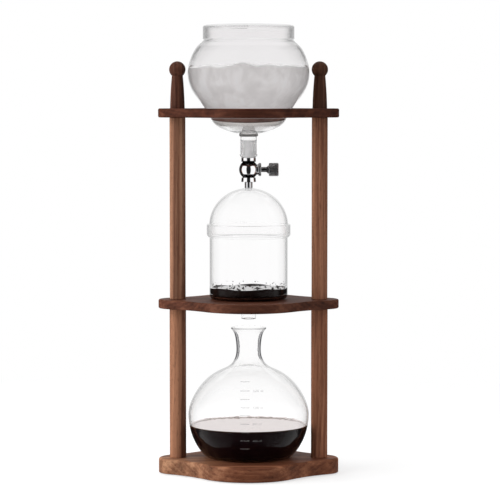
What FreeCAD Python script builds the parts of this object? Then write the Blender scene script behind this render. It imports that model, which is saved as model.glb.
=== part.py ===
import FreeCAD, Part
import math
import os

from FreeCAD import Vector

# Cold drip coffee tower, in millimetres. +Z is up, the front faces -Y, and the
# origin is the middle of the footprint, on the surface that the feet stand on.
#
# A walnut stand of three plates on two jointed posts carries, from the top down,
# a lidded water bowl with a needle drip valve in its ground glass outlet, a domed
# coffee chamber whose spout hangs through the middle shelf, and a round flask.

os.makedirs("parts", exist_ok=True)

# ---- Driving dimensions: stand ----
FOOT_STAND = 1.2
BASE_THICKNESS = 20.0
SHELF_THICKNESS = 12.0
LOWER_POST_LENGTH = 201.0
UPPER_POST_LENGTH = 242.5
POST_SPACING = 189.5
LOWER_POST_RADIUS = 11.0
UPPER_POST_RADIUS = 10.6
POST_EDGE = 0.6

# Plan of the three plates: a nose arc front and back, a round lobe at each post,
# and a shallow hollow curve between them.
NOSE_RADIUS = 72.0
NOSE_OFFSET = 22.0
LOBE_RADIUS = 25.75
WAIST_RADIUS = 150.0
BASE_ROUNDING = 3.2
SHELF_ROUNDING = 2.0

# Finial, measured up from the top shelf
FINIAL_BASE_RADIUS = 9.75
FINIAL_MIDDLE = (8.8, 24.0)
FINIAL_NECK_HEIGHT = 43.5
FINIAL_BALL_RADIUS = 10.9
FINIAL_HEIGHT = 62.5

# Stand hardware: M6 throughout
THREAD_RADIUS = 3.0
THREAD_HOLE_RADIUS = 3.2
INSERT_RADIUS = 5.0
INSERT_LENGTH = 12.0
STUD_REACH = 11.0
BOLT_HEAD_RADIUS = 5.0
BOLT_HEAD_HEIGHT = 6.0
BOLT_RECESS = 1.5
BOLT_COUNTERBORE_RADIUS = 6.0
HEX_KEY_ACROSS = 5.0
HEX_KEY_DEPTH = 3.0
FOOT_RADIUS = 8.0
FOOT_POCKET = 1.0
FOOT_PLACES = [(-62.0, -40.0), (62.0, -40.0), (62.0, 40.0), (-62.0, 40.0)]

# ---- Driving dimensions: water bowl, heights above the top shelf ----
BOWL_WALL = 3.0
BOWL_OUTER = [
    (12.2, -33.6), (25.0, -30.6), (37.2, -26.0), (46.8, -19.0), (51.6, -11.0),
    (61.8, 5.6), (75.2, 24.4), (81.0, 48.3), (77.8, 64.2), (68.0, 82.7), (58.2, 92.4),
]
COLLAR_RADIUS = 58.2
COLLAR_WALL = 2.8
COLLAR_TOP = 107.7
OUTLET_BORE_RADIUS = 7.4
OUTLET_RADIUS = 10.9
OUTLET_RING_RADIUS = 12.7
OUTLET_RING_HEIGHT = -35.6
OUTLET_BEAD_RADIUS = 11.8
OUTLET_END = -64.7
GROUND_LENGTH = 22.0
GROUND_WIDE_RADIUS = 9.4
GROUND_TAPER = 0.05
WATER_LEVEL = 61.5
SEAT_HOLE_RADIUS = 55.6
SEAT_TOP_RADIUS = 59.2
SEAT_DEPTH = 5.8

LID_RADIUS = 61.0
LID_WALL = 2.4
LID_SKIRT_BOTTOM = 91.2
LID_UNDERSIDE = 107.8
LID_EDGE_TOP = 110.4
LID_DOME_TOP = 112.5

# ---- Driving dimensions: drip valve, heights above the top shelf ----
VALVE_TOP = -65.2
VALVE_FLANGE_BOTTOM = -71.2
VALVE_AXIS = -81.4
VALVE_FOOT_TOP = -91.6
VALVE_BOTTOM = -98.0
TIP_BOTTOM = -108.6
VALVE_FLANGE_RADIUS = 9.7
BARREL_RADIUS = 12.8
VALVE_BEVEL = 0.5
BARREL_HALF_HEIGHT = VALVE_FLANGE_BOTTOM - VALVE_BEVEL - VALVE_AXIS
BARREL_END_RADIUS = math.sqrt(BARREL_RADIUS ** 2 - BARREL_HALF_HEIGHT ** 2)
FOOT_FLANGE_RADIUS = 9.9
CONE_SHANK_RADIUS = 6.5
CONE_SHANK_LENGTH = 4.0
CONE_BORE_RADIUS = 4.5
CONE_CLEARANCE = 0.05
PLENUM_RADIUS = 5.8
PLENUM_DEPTH = 1.5
INLET_RADIUS = 1.0
INLET_OFFSET = 4.0
OUTLET_HOLE_RADIUS = 1.4
SEAT_X = 3.0
ORIFICE_RADIUS = 1.0
NEEDLE_BORE_RADIUS = 3.15
NEEDLE_BORE_END = 9.5
BOSS_RADIUS = 6.9
BOSS_START = 5.8
BOSS_END = 13.0
GLAND_RADIUS = 5.0
PACKING_END = 10.9
NUT_RADIUS = 8.9
NUT_END = 16.8
TIP_RADIUS = 5.2
TIP_SPIGOT_RADIUS = 3.5
TIP_SPIGOT_LENGTH = 4.0

# Needle stem and knob, distances along +X from the valve's upright axis
STEM_RADIUS = 3.55
STEM_INNER_RADIUS = 3.0
STEM_STEP = 10.4
STEM_SHOULDER = 24.2
STEM_SHOULDER_RADIUS = 5.4
STEM_PIN_RADIUS = 2.5
STEM_PIN_END = 36.5
NEEDLE_TIP = 2.1
NEEDLE_TIP_RADIUS = 0.3
NEEDLE_CONE_END = 5.1
NEEDLE_CONE_RADIUS = 1.5
SEAL_START = 5.6
SEAL_SECTION = 0.95
SEAL_CLEARANCE = 0.05
KNOB_START = 27.0
KNOB_END = 39.9
KNOB_RADIUS = 8.8
KNOB_EDGE = 0.9
KNURL_COUNT = 26
KNURL_RADIUS = 0.75
KNURL_DEPTH = 0.45
SET_SCREW_X = 33.0
SET_SCREW_RADIUS = 1.5
SET_SCREW_TOP = 7.4
SET_SCREW_KEY = 1.5

# ---- Driving dimensions: coffee chamber and dome, heights above the middle shelf ----
CHAMBER_RADIUS = 52.2
CHAMBER_WALL = 2.6
CHAMBER_CORNER = 6.5
CHAMBER_FLOOR = 3.5
CHAMBER_STEP = 82.5
CHAMBER_LEDGE = 86.2
CHAMBER_LIP_RADIUS = 56.0
CHAMBER_LIP_TOP = 100.4
SPOUT_RADIUS = 9.7
SPOUT_WALL = 2.2
SPOUT_BOTTOM = -26.5
SPOUT_HOLE_RADIUS = 11.0
DOME_RADIUS = 52.6
DOME_WALL = 2.5
DOME_SPRING = 99.0
DOME_RISE = 49.5
DOME_HOLE_RADIUS = 7.6
GROUNDS_TOP = 16.0
FILTER_RADIUS = 18.5
FILTER_THICKNESS = 3.5
GASKET_RADIUS = 21.0

# ---- Driving dimensions: flask, heights above the base plate ----
FLASK_WALL = 2.6
FLASK_RADIUS = 80.8
FLASK_EQUATOR = 58.0
FLASK_UPPER = [
    (75.4, 79.6), (60.5, 101.4), (38.7, 117.3), (24.4, 124.9), (18.0, 134.5),
    (16.4, 149.5), (18.8, 165.6), (23.4, 173.2),
]
FLASK_FOOT_RADIUS = 50.0
FLASK_FOOT_BEND = 59.5
FLASK_HEEL = (3.4, 1.9)
FLASK_INNER_HEEL = (4.6, 0.9)
FLASK_INNER_HEEL_WIDTH = 11.0
FLASK_PUNT_RADIUS = 43.0
FLASK_PUNT = 1.4
COFFEE_LEVEL = 43.2

LIQUID_GAP = 0.25

# How far the middle of a rounded square corner stands in from it, as a share of its radius
CORNER_SHARE = 1 - 1 / math.sqrt(2)

# ---- Levels worked out from the above ----
BASE_BOTTOM = FOOT_STAND
BASE_TOP = BASE_BOTTOM + BASE_THICKNESS
MIDDLE_BOTTOM = BASE_TOP + LOWER_POST_LENGTH
MIDDLE_TOP = MIDDLE_BOTTOM + SHELF_THICKNESS
TOP_BOTTOM = MIDDLE_TOP + UPPER_POST_LENGTH
TOP_TOP = TOP_BOTTOM + SHELF_THICKNESS
POST_X = POST_SPACING / 2
SIDES = {"left": -POST_X, "right": POST_X}

UP = Vector(0, 0, 1)
OUTWARD = Vector(1, 0, 0)
ORIGIN = Vector(0, 0, 0)


# ---- Drawing helpers ----
def at(radius, height):
    """A point of an outline: its distance from the axis and its height."""
    return Vector(radius, 0, height)


def spline(points, start=None, end=None):
    """A smooth curve through the points, with its end directions where given."""
    curve = Part.BSplineCurve()
    if start is None or end is None:
        curve.interpolate(points)
    else:
        curve.interpolate(Points=points, InitialTangent=start, FinalTangent=end)
    return curve


def under(curve, depth, count):
    """Points at a depth under an outline that is drawn upwards, square to it."""
    first = curve.FirstParameter
    step = (curve.LastParameter - first) / (count - 1)
    points = []
    for index in range(count):
        place = first + index * step
        along = curve.tangent(place)[0]
        points.append(curve.value(place) + Vector(-along.z, 0, along.x) * depth)
    return points


def crown_middle(edge, top):
    """Halfway along an arc centred on the axis, from the axis at top to an edge point."""
    rise = top - edge[1]
    sphere = (edge[0] ** 2 + rise ** 2) / (2 * rise)
    angle = 0.5 * math.asin(edge[0] / sphere)
    return (sphere * math.sin(angle), top - sphere * (1 - math.cos(angle)))


class Outline:
    """A closed outline in the XZ plane, drawn stretch by stretch and then turned."""

    def __init__(self, radius, height):
        self.first = at(radius, height)
        self.last = self.first
        self.edges = []

    def line(self, radius, height):
        end = at(radius, height)
        self.edges.append(Part.LineSegment(self.last, end).toShape())
        self.last = end
        return self

    def arc(self, middle, end):
        self.edges.append(Part.Arc(self.last, at(*middle), at(*end)).toShape())
        self.last = at(*end)
        return self

    def along(self, curve):
        """Follow a curve that starts where the outline has got to."""
        self.edges.append(curve.toShape())
        self.last = curve.value(curve.LastParameter)
        return self

    def back_along(self, curve):
        """Follow a curve from its far end to its start."""
        self.edges.append(curve.toShape())
        self.last = curve.value(curve.FirstParameter)
        return self

    def turned(self, height=0.0):
        """The solid swept round the Z axis, lifted to a height."""
        if not self.last.isEqual(self.first, 1e-6):
            self.line(self.first.x, self.first.z)
        face = Part.Face(Part.Wire(Part.__sortEdges__(self.edges)))
        solid = face.revolve(ORIGIN, UP, 360)
        if solid.Volume < 0:
            solid.reverse()
        solid.translate(Vector(0, 0, height))
        return solid


def disc(radius, bottom, top, x=0.0, y=0.0):
    """An upright cylinder between two heights."""
    return Part.makeCylinder(radius, top - bottom, Vector(x, y, bottom), UP)


def rod(radius, start, end, height):
    """A cylinder along +X, centred on the valve's cross axis."""
    return Part.makeCylinder(radius, end - start, Vector(start, 0, height), OUTWARD)


def taper(first_radius, last_radius, start, end, height):
    """A cone along +X, centred on the valve's cross axis."""
    place = Vector(start, 0, height)
    return Part.makeCone(first_radius, last_radius, end - start, place, OUTWARD)


def hexagon(across, depth, place):
    """An upright six-sided prism, for the socket of a hex key."""
    corner = across / math.sqrt(3)
    points = [
        place + Vector(corner * math.cos(k * math.pi / 3), corner * math.sin(k * math.pi / 3), 0)
        for k in range(7)
    ]
    return Part.Face(Part.makePolygon(points)).extrude(Vector(0, 0, depth))


def edges_at(solid, height):
    """The edges of a solid that lie flat at one height."""
    found = []
    for edge in solid.Edges:
        box = edge.BoundBox
        if abs(box.ZMin - height) < 1e-4 and abs(box.ZMax - height) < 1e-4:
            found.append(edge)
    return found


def save(shape, node):
    shape.exportStep("parts/" + node + ".step")


# ---- Stand ----
def plate_plan():
    """The outline shared by the three plates, as a closed wire at height 0."""
    nose = Vector(0, -NOSE_OFFSET, 0)
    lobe = Vector(POST_X, 0, 0)
    between = lobe - nose
    nose_reach = NOSE_RADIUS + WAIST_RADIUS
    lobe_reach = LOBE_RADIUS + WAIST_RADIUS
    along = (nose_reach ** 2 - lobe_reach ** 2 + between.Length ** 2) / (2 * between.Length)
    aside = math.sqrt(nose_reach ** 2 - along ** 2)
    forward = Vector(between.y, -between.x, 0)
    waist = nose + between * (along / between.Length) + forward * (aside / between.Length)
    nose_end = nose + (waist - nose) * (NOSE_RADIUS / nose_reach)
    lobe_end = lobe + (waist - lobe) * (LOBE_RADIUS / lobe_reach)
    hollow = (nose_end + lobe_end) * 0.5 - waist
    waist_middle = waist + hollow * (WAIST_RADIUS / hollow.Length)

    def mirrored(point, x_sign, y_sign):
        return Vector(point.x * x_sign, point.y * y_sign, 0)

    edges = []
    for y_sign in (1, -1):
        left_end = mirrored(nose_end, -1, y_sign)
        right_end = mirrored(nose_end, 1, y_sign)
        tip = Vector(0, -y_sign * (NOSE_OFFSET + NOSE_RADIUS), 0)
        edges.append(Part.Arc(left_end, tip, right_end))
        for x_sign in (1, -1):
            start = mirrored(nose_end, x_sign, y_sign)
            middle = mirrored(waist_middle, x_sign, y_sign)
            edges.append(Part.Arc(start, middle, mirrored(lobe_end, x_sign, y_sign)))
    for x_sign in (1, -1):
        front = mirrored(lobe_end, x_sign, 1)
        back = mirrored(lobe_end, x_sign, -1)
        edges.append(Part.Arc(front, Vector(x_sign * (POST_X + LOBE_RADIUS), 0, 0), back))
    return Part.Wire(Part.__sortEdges__([edge.toShape() for edge in edges]))


def plate(bottom, thickness, top_rounding, bottom_rounding):
    """A blank plate with its rim rounded over."""
    solid = Part.Face(plate_plan()).extrude(Vector(0, 0, thickness))
    solid = solid.makeFillet(top_rounding, edges_at(solid, thickness))
    solid = solid.makeFillet(bottom_rounding, edges_at(solid, 0))
    solid.translate(Vector(0, 0, bottom))
    return solid


def base_plate():
    solid = plate(BASE_BOTTOM, BASE_THICKNESS, BASE_ROUNDING, 1.0)
    for x, y in FOOT_PLACES:
        solid = solid.cut(disc(FOOT_RADIUS, BASE_BOTTOM, BASE_BOTTOM + FOOT_POCKET, x, y))
    head_top = BASE_BOTTOM + BOLT_RECESS + BOLT_HEAD_HEIGHT
    for x in SIDES.values():
        solid = solid.cut(disc(BOLT_COUNTERBORE_RADIUS, BASE_BOTTOM, head_top, x))
        solid = solid.cut(disc(THREAD_HOLE_RADIUS, head_top, BASE_TOP, x))
    return solid


def middle_shelf():
    solid = plate(MIDDLE_BOTTOM, SHELF_THICKNESS, SHELF_ROUNDING, SHELF_ROUNDING)
    solid = solid.cut(disc(SPOUT_HOLE_RADIUS, MIDDLE_BOTTOM, MIDDLE_TOP))
    for x in SIDES.values():
        solid = solid.cut(disc(THREAD_HOLE_RADIUS, MIDDLE_BOTTOM, MIDDLE_TOP, x))
    return solid


def top_shelf():
    solid = plate(TOP_BOTTOM, SHELF_THICKNESS, SHELF_ROUNDING, SHELF_ROUNDING)
    solid = solid.cut(disc(SEAT_HOLE_RADIUS, TOP_BOTTOM, TOP_TOP))
    seat_bottom = Vector(0, 0, TOP_TOP - SEAT_DEPTH)
    seat = Part.makeCone(SEAT_HOLE_RADIUS, SEAT_TOP_RADIUS, SEAT_DEPTH, seat_bottom, UP)
    solid = solid.cut(seat)
    for x in SIDES.values():
        solid = solid.cut(disc(THREAD_HOLE_RADIUS, TOP_BOTTOM, TOP_TOP, x))
    return solid


def post(x, radius, bottom, top):
    """A turned post, bored at both ends for its threaded inserts."""
    solid = disc(radius, bottom, top, x)
    ends = edges_at(solid, bottom) + edges_at(solid, top)
    solid = solid.makeChamfer(POST_EDGE, ends)
    for start in (bottom, top - INSERT_LENGTH):
        solid = solid.cut(disc(INSERT_RADIUS, start, start + INSERT_LENGTH, x))
    return solid


def finial(x):
    """A tapered spindle with a ball on its top, bored for its insert."""
    ball_centre = FINIAL_HEIGHT - FINIAL_BALL_RADIUS
    neck_drop = ball_centre - FINIAL_NECK_HEIGHT
    neck = at(math.sqrt(FINIAL_BALL_RADIUS ** 2 - neck_drop ** 2), FINIAL_NECK_HEIGHT)
    outline = Outline(0, 0)
    outline.line(FINIAL_BASE_RADIUS, 0)
    outline.along(spline([at(FINIAL_BASE_RADIUS, 0), at(*FINIAL_MIDDLE), neck]))
    outline.arc((FINIAL_BALL_RADIUS, ball_centre), (0, FINIAL_HEIGHT))
    solid = outline.turned(TOP_TOP)
    solid = solid.cut(disc(INSERT_RADIUS, TOP_TOP, TOP_TOP + INSERT_LENGTH))
    solid.translate(Vector(x, 0, 0))
    return solid


def threaded_inserts():
    """The brass sleeves in both ends of every post and in the finials' feet."""
    starts = [
        BASE_TOP,
        MIDDLE_BOTTOM - INSERT_LENGTH,
        MIDDLE_TOP,
        TOP_BOTTOM - INSERT_LENGTH,
        TOP_TOP,
    ]
    sleeves = []
    for x in SIDES.values():
        for start in starts:
            sleeve = disc(INSERT_RADIUS, start, start + INSERT_LENGTH, x)
            sleeves.append(sleeve.cut(disc(THREAD_RADIUS, start, start + INSERT_LENGTH, x)))
    return Part.makeCompound(sleeves)


def joint_studs():
    """The studs that join each pair of posts, and each post and finial, through a shelf."""
    studs = []
    for x in SIDES.values():
        for bottom, top in ((MIDDLE_BOTTOM, MIDDLE_TOP), (TOP_BOTTOM, TOP_TOP)):
            studs.append(disc(THREAD_RADIUS, bottom - STUD_REACH, top + STUD_REACH, x))
    return Part.makeCompound(studs)


def base_bolts():
    """The cap screws that hold the base plate to the lower posts, from below."""
    head_bottom = BASE_BOTTOM + BOLT_RECESS
    head_top = head_bottom + BOLT_HEAD_HEIGHT
    bolts = []
    for x in SIDES.values():
        bolt = disc(BOLT_HEAD_RADIUS, head_bottom, head_top, x)
        bolt = bolt.fuse(disc(THREAD_RADIUS, head_top, BASE_TOP + STUD_REACH, x))
        key = hexagon(HEX_KEY_ACROSS, HEX_KEY_DEPTH, Vector(x, 0, head_bottom))
        bolts.append(bolt.cut(key))
    return Part.makeCompound(bolts)


def rubber_feet():
    pads = []
    for x, y in FOOT_PLACES:
        pads.append(disc(FOOT_RADIUS, 0, BASE_BOTTOM + FOOT_POCKET, x, y))
    return Part.makeCompound(pads)


# ---- Water bowl ----
def bowl_curve():
    points = [at(*point) for point in BOWL_OUTER]
    return spline(points, Vector(14, 0, 2), Vector(-10, 0, 12))


def water_bowl():
    """Blown bowl, rolled collar, and an outlet ground inside to a taper joint."""
    outer = bowl_curve()
    inner_points = under(outer, BOWL_WALL, 15)
    inner = spline(inner_points)
    collar_inside = COLLAR_RADIUS - COLLAR_WALL
    rim_round = COLLAR_WALL / 2
    rim_side = COLLAR_TOP - rim_round
    joint_top = OUTLET_END + GROUND_LENGTH
    joint_top_radius = GROUND_WIDE_RADIUS - GROUND_LENGTH * GROUND_TAPER
    outline = Outline(BOWL_OUTER[0][0], BOWL_OUTER[0][1])
    outline.along(outer)
    outline.line(COLLAR_RADIUS, rim_side)
    outline.arc((COLLAR_RADIUS - rim_round, COLLAR_TOP), (collar_inside, rim_side))
    outline.line(collar_inside, BOWL_OUTER[-1][1])
    outline.line(inner_points[-1].x, inner_points[-1].z)
    outline.back_along(inner)
    outline.line(OUTLET_BORE_RADIUS, BOWL_OUTER[0][1] + 0.6)
    outline.line(OUTLET_BORE_RADIUS, joint_top)
    outline.line(joint_top_radius, joint_top)
    outline.line(GROUND_WIDE_RADIUS, OUTLET_END)
    outline.line(OUTLET_RADIUS - 0.4, OUTLET_END)
    outline.arc((OUTLET_BEAD_RADIUS, OUTLET_END + 2.2), (OUTLET_RADIUS, OUTLET_END + 4.6))
    outline.line(OUTLET_RADIUS, OUTLET_RING_HEIGHT - 2.0)
    outline.arc((OUTLET_RING_RADIUS, OUTLET_RING_HEIGHT), BOWL_OUTER[0])
    return outline.turned(TOP_TOP)


def ice_and_water():
    """The fill of the bowl, to its level, and down to the top of the valve's cone."""
    depth = BOWL_WALL + LIQUID_GAP
    inner_points = under(bowl_curve(), depth, 15)
    bore = OUTLET_BORE_RADIUS - LIQUID_GAP
    joint_top = OUTLET_END + GROUND_LENGTH + LIQUID_GAP
    outline = Outline(0, joint_top)
    outline.line(bore, joint_top)
    outline.line(bore, BOWL_OUTER[0][1] + 0.6)
    outline.line(inner_points[0].x, inner_points[0].z)
    outline.along(spline(inner_points))
    outline.line(0, inner_points[-1].z)
    fill = outline.turned(TOP_TOP)
    level = TOP_TOP + WATER_LEVEL
    return fill.cut(disc(FLASK_RADIUS + BOWL_WALL, level, TOP_TOP + COLLAR_TOP))


def bowl_lid():
    """A loose glass cap with a low dome and a skirt outside the bowl's collar."""
    inside = LID_RADIUS - LID_WALL
    skirt_end = LID_SKIRT_BOTTOM + LID_WALL / 2
    skirt_middle = LID_RADIUS - LID_WALL / 2
    shoulder = 3.0
    dome_edge = inside - 4.0
    dome_inside = LID_DOME_TOP - LID_WALL
    outline = Outline(0, LID_DOME_TOP)
    outer_edge = (LID_RADIUS - shoulder, LID_EDGE_TOP)
    outline.arc(crown_middle(outer_edge, LID_DOME_TOP), outer_edge)
    outline.arc((LID_RADIUS - 0.8, LID_EDGE_TOP - 1.1), (LID_RADIUS, LID_EDGE_TOP - shoulder))
    outline.line(LID_RADIUS, skirt_end)
    outline.arc((skirt_middle, LID_SKIRT_BOTTOM), (inside, skirt_end))
    outline.line(inside, LID_UNDERSIDE)
    outline.line(dome_edge, LID_UNDERSIDE)
    outline.arc(crown_middle((dome_edge, LID_UNDERSIDE), dome_inside), (0, dome_inside))
    return outline.turned(TOP_TOP)


# ---- Drip valve ----
def valve_cone():
    """The ground male cone that plugs into the bowl's outlet, bored through."""
    top = OUTLET_END + GROUND_LENGTH - 0.6
    top_radius = GROUND_WIDE_RADIUS - CONE_CLEARANCE - (GROUND_LENGTH - 0.6) * GROUND_TAPER
    bottom_radius = GROUND_WIDE_RADIUS - CONE_CLEARANCE
    shank_end = VALVE_TOP - CONE_SHANK_LENGTH
    outline = Outline(CONE_BORE_RADIUS, top)
    outline.line(top_radius, top)
    outline.line(bottom_radius, OUTLET_END)
    outline.line(bottom_radius, VALVE_TOP)
    outline.line(CONE_SHANK_RADIUS, VALVE_TOP)
    outline.line(CONE_SHANK_RADIUS, shank_end)
    outline.line(CONE_BORE_RADIUS, shank_end)
    return outline.turned(TOP_TOP)


def valve_body():
    """Turned ball between two flanges, with a side boss for the needle's gland."""
    bevel = VALVE_BEVEL
    outline = Outline(0, VALVE_TOP)
    outline.line(VALVE_FLANGE_RADIUS - bevel, VALVE_TOP)
    outline.line(VALVE_FLANGE_RADIUS, VALVE_TOP - bevel)
    outline.line(VALVE_FLANGE_RADIUS, VALVE_FLANGE_BOTTOM + bevel)
    outline.line(BARREL_END_RADIUS - bevel, VALVE_FLANGE_BOTTOM)
    outline.line(BARREL_END_RADIUS, VALVE_FLANGE_BOTTOM - bevel)
    outline.arc((BARREL_RADIUS, VALVE_AXIS), (BARREL_END_RADIUS, VALVE_FOOT_TOP + bevel))
    outline.line(BARREL_END_RADIUS - bevel, VALVE_FOOT_TOP)
    outline.line(FOOT_FLANGE_RADIUS - bevel, VALVE_FOOT_TOP - bevel)
    outline.line(FOOT_FLANGE_RADIUS, VALVE_BOTTOM + bevel)
    outline.line(FOOT_FLANGE_RADIUS - bevel, VALVE_BOTTOM)
    outline.line(0, VALVE_BOTTOM)
    solid = outline.turned(TOP_TOP)

    axis = TOP_TOP + VALVE_AXIS
    cup_bottom = TOP_TOP + VALVE_TOP - CONE_SHANK_LENGTH
    plenum_bottom = cup_bottom - PLENUM_DEPTH
    spigot_top = TOP_TOP + VALVE_BOTTOM + TIP_SPIGOT_LENGTH
    solid = solid.fuse(rod(BOSS_RADIUS, BOSS_START, BOSS_END, axis))
    hollows = [
        disc(CONE_SHANK_RADIUS, cup_bottom, TOP_TOP + VALVE_TOP),
        disc(PLENUM_RADIUS, plenum_bottom, cup_bottom),
        disc(INLET_RADIUS, axis, plenum_bottom, INLET_OFFSET),
        rod(NEEDLE_BORE_RADIUS, SEAT_X, NEEDLE_BORE_END, axis),
        rod(GLAND_RADIUS, NEEDLE_BORE_END, BOSS_END, axis),
        rod(ORIFICE_RADIUS, 0, SEAT_X, axis),
        disc(OUTLET_HOLE_RADIUS, spigot_top, axis + OUTLET_HOLE_RADIUS),
        disc(TIP_SPIGOT_RADIUS, TOP_TOP + VALVE_BOTTOM, spigot_top),
    ]
    for hollow in hollows:
        solid = solid.cut(hollow)
    return solid


def drip_tip():
    """The outlet nozzle, screwed up into the valve body."""
    spigot_top = VALVE_BOTTOM + TIP_SPIGOT_LENGTH
    outline = Outline(OUTLET_HOLE_RADIUS, spigot_top)
    outline.line(TIP_SPIGOT_RADIUS, spigot_top)
    outline.line(TIP_SPIGOT_RADIUS, VALVE_BOTTOM)
    outline.line(TIP_RADIUS, VALVE_BOTTOM)
    outline.line(TIP_RADIUS, TIP_BOTTOM + 3.4)
    outline.arc((TIP_RADIUS - 0.5, TIP_BOTTOM + 1.6), (TIP_RADIUS - 2.2, TIP_BOTTOM))
    outline.line(OUTLET_HOLE_RADIUS, TIP_BOTTOM)
    return outline.turned(TOP_TOP)


def stem_packing():
    axis = TOP_TOP + VALVE_AXIS
    ring = rod(GLAND_RADIUS, NEEDLE_BORE_END, PACKING_END, axis)
    return ring.cut(rod(STEM_RADIUS + SEAL_CLEARANCE, NEEDLE_BORE_END, PACKING_END, axis))


def packing_nut():
    """The round nut that closes the gland, with a softened rim."""
    axis = TOP_TOP + VALVE_AXIS
    nut = rod(NUT_RADIUS, BOSS_END, NUT_END, axis)
    rims = [edge for edge in nut.Edges if edge.BoundBox.XLength < 1e-6]
    nut = nut.makeFillet(1.2, rims)
    nut = nut.fuse(rod(GLAND_RADIUS, PACKING_END, BOSS_END + 1.0, axis))
    return nut.cut(rod(STEM_RADIUS + SEAL_CLEARANCE, PACKING_END, NUT_END, axis))


def needle_stem():
    """The needle, its stem with the seal's groove, and the pin that carries the knob."""
    axis = TOP_TOP + VALVE_AXIS
    pieces = [
        taper(NEEDLE_TIP_RADIUS, NEEDLE_CONE_RADIUS, NEEDLE_TIP, NEEDLE_CONE_END, axis),
        rod(STEM_INNER_RADIUS, NEEDLE_CONE_END, STEM_STEP, axis),
        rod(STEM_RADIUS, STEM_STEP, STEM_SHOULDER, axis),
        taper(STEM_RADIUS, STEM_SHOULDER_RADIUS, STEM_SHOULDER, STEM_SHOULDER + 1.4, axis),
        rod(STEM_SHOULDER_RADIUS, STEM_SHOULDER + 1.4, KNOB_START, axis),
        rod(STEM_PIN_RADIUS, KNOB_START, STEM_PIN_END, axis),
    ]
    stem = pieces[0]
    for piece in pieces[1:]:
        stem = stem.fuse(piece)
    groove_end = SEAL_START + 2 * SEAL_SECTION
    groove = rod(STEM_RADIUS, SEAL_START - SEAL_CLEARANCE, groove_end + SEAL_CLEARANCE, axis)
    core_radius = NEEDLE_BORE_RADIUS - 2 * SEAL_CLEARANCE - 2 * SEAL_SECTION
    core = rod(core_radius, SEAL_START - SEAL_CLEARANCE, groove_end + SEAL_CLEARANCE, axis)
    return stem.cut(groove.cut(core)).removeSplitter()


def stem_seal():
    """The round ring in the stem's groove."""
    ring_radius = NEEDLE_BORE_RADIUS - SEAL_CLEARANCE - SEAL_SECTION
    place = Vector(SEAL_START + SEAL_SECTION, 0, TOP_TOP + VALVE_AXIS)
    return Part.makeTorus(ring_radius, SEAL_SECTION, place, OUTWARD)


def control_knob():
    """A grooved knob, bored for the stem's pin and drilled for its set screw."""
    axis = TOP_TOP + VALVE_AXIS
    knob = rod(KNOB_RADIUS, KNOB_START, KNOB_END, axis)
    rims = [edge for edge in knob.Edges if edge.BoundBox.XLength < 1e-6]
    knob = knob.makeChamfer(KNOB_EDGE, rims)
    offset = KNOB_RADIUS + KNURL_RADIUS - KNURL_DEPTH
    for index in range(KNURL_COUNT):
        angle = (index + 0.5) * 2 * math.pi / KNURL_COUNT
        place = Vector(KNOB_START, offset * math.cos(angle), axis + offset * math.sin(angle))
        groove = Part.makeCylinder(KNURL_RADIUS, KNOB_END - KNOB_START, place, OUTWARD)
        knob = knob.cut(groove)
    knob = knob.cut(rod(STEM_PIN_RADIUS, KNOB_START, STEM_PIN_END, axis))
    return knob.cut(disc(SET_SCREW_RADIUS, axis, axis + KNOB_RADIUS, SET_SCREW_X))


def knob_set_screw():
    axis = TOP_TOP + VALVE_AXIS
    screw = disc(SET_SCREW_RADIUS, axis, axis + SET_SCREW_TOP, SET_SCREW_X)
    screw = screw.cut(rod(STEM_PIN_RADIUS, KNOB_START, STEM_PIN_END, axis))
    socket = Vector(SET_SCREW_X, 0, axis + SET_SCREW_TOP - SET_SCREW_KEY)
    return screw.cut(hexagon(SET_SCREW_KEY, SET_SCREW_KEY, socket))


# ---- Coffee chamber ----
def coffee_chamber():
    """Straight glass cup with a flared lip for the dome and a spout through its floor."""
    inside = CHAMBER_RADIUS - CHAMBER_WALL
    lip_inside = CHAMBER_LIP_RADIUS - CHAMBER_WALL
    lip_round = CHAMBER_WALL / 2
    lip_side = CHAMBER_LIP_TOP - lip_round
    spout_inside = SPOUT_RADIUS - SPOUT_WALL
    bend = CORNER_SHARE * CHAMBER_CORNER
    inner_corner = CHAMBER_CORNER - CHAMBER_WALL
    inner_bend = CORNER_SHARE * inner_corner
    outline = Outline(SPOUT_RADIUS, 0)
    outline.line(CHAMBER_RADIUS - CHAMBER_CORNER, 0)
    outline.arc((CHAMBER_RADIUS - bend, bend), (CHAMBER_RADIUS, CHAMBER_CORNER))
    outline.line(CHAMBER_RADIUS, CHAMBER_STEP)
    step_middle = (CHAMBER_LIP_RADIUS - 1.1, CHAMBER_STEP + 1.8)
    outline.arc(step_middle, (CHAMBER_LIP_RADIUS, CHAMBER_STEP + 5.4))
    outline.line(CHAMBER_LIP_RADIUS, lip_side)
    outline.arc((CHAMBER_LIP_RADIUS - lip_round, CHAMBER_LIP_TOP), (lip_inside, lip_side))
    outline.line(lip_inside, CHAMBER_LEDGE)
    outline.line(inside + 0.6, CHAMBER_LEDGE)
    outline.line(inside, CHAMBER_LEDGE - 1.4)
    outline.line(inside, CHAMBER_FLOOR + inner_corner)
    floor_bend = (inside - inner_bend, CHAMBER_FLOOR + inner_bend)
    outline.arc(floor_bend, (inside - inner_corner, CHAMBER_FLOOR))
    outline.line(spout_inside, CHAMBER_FLOOR)
    outline.line(spout_inside, SPOUT_BOTTOM + 0.8)
    spout_middle = SPOUT_RADIUS - SPOUT_WALL / 2
    outline.arc((spout_middle, SPOUT_BOTTOM), (SPOUT_RADIUS, SPOUT_BOTTOM + 0.8))
    return outline.turned(MIDDLE_TOP)


def filter_disc():
    bottom = MIDDLE_TOP + CHAMBER_FLOOR
    return disc(FILTER_RADIUS, bottom, bottom + FILTER_THICKNESS)


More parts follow.
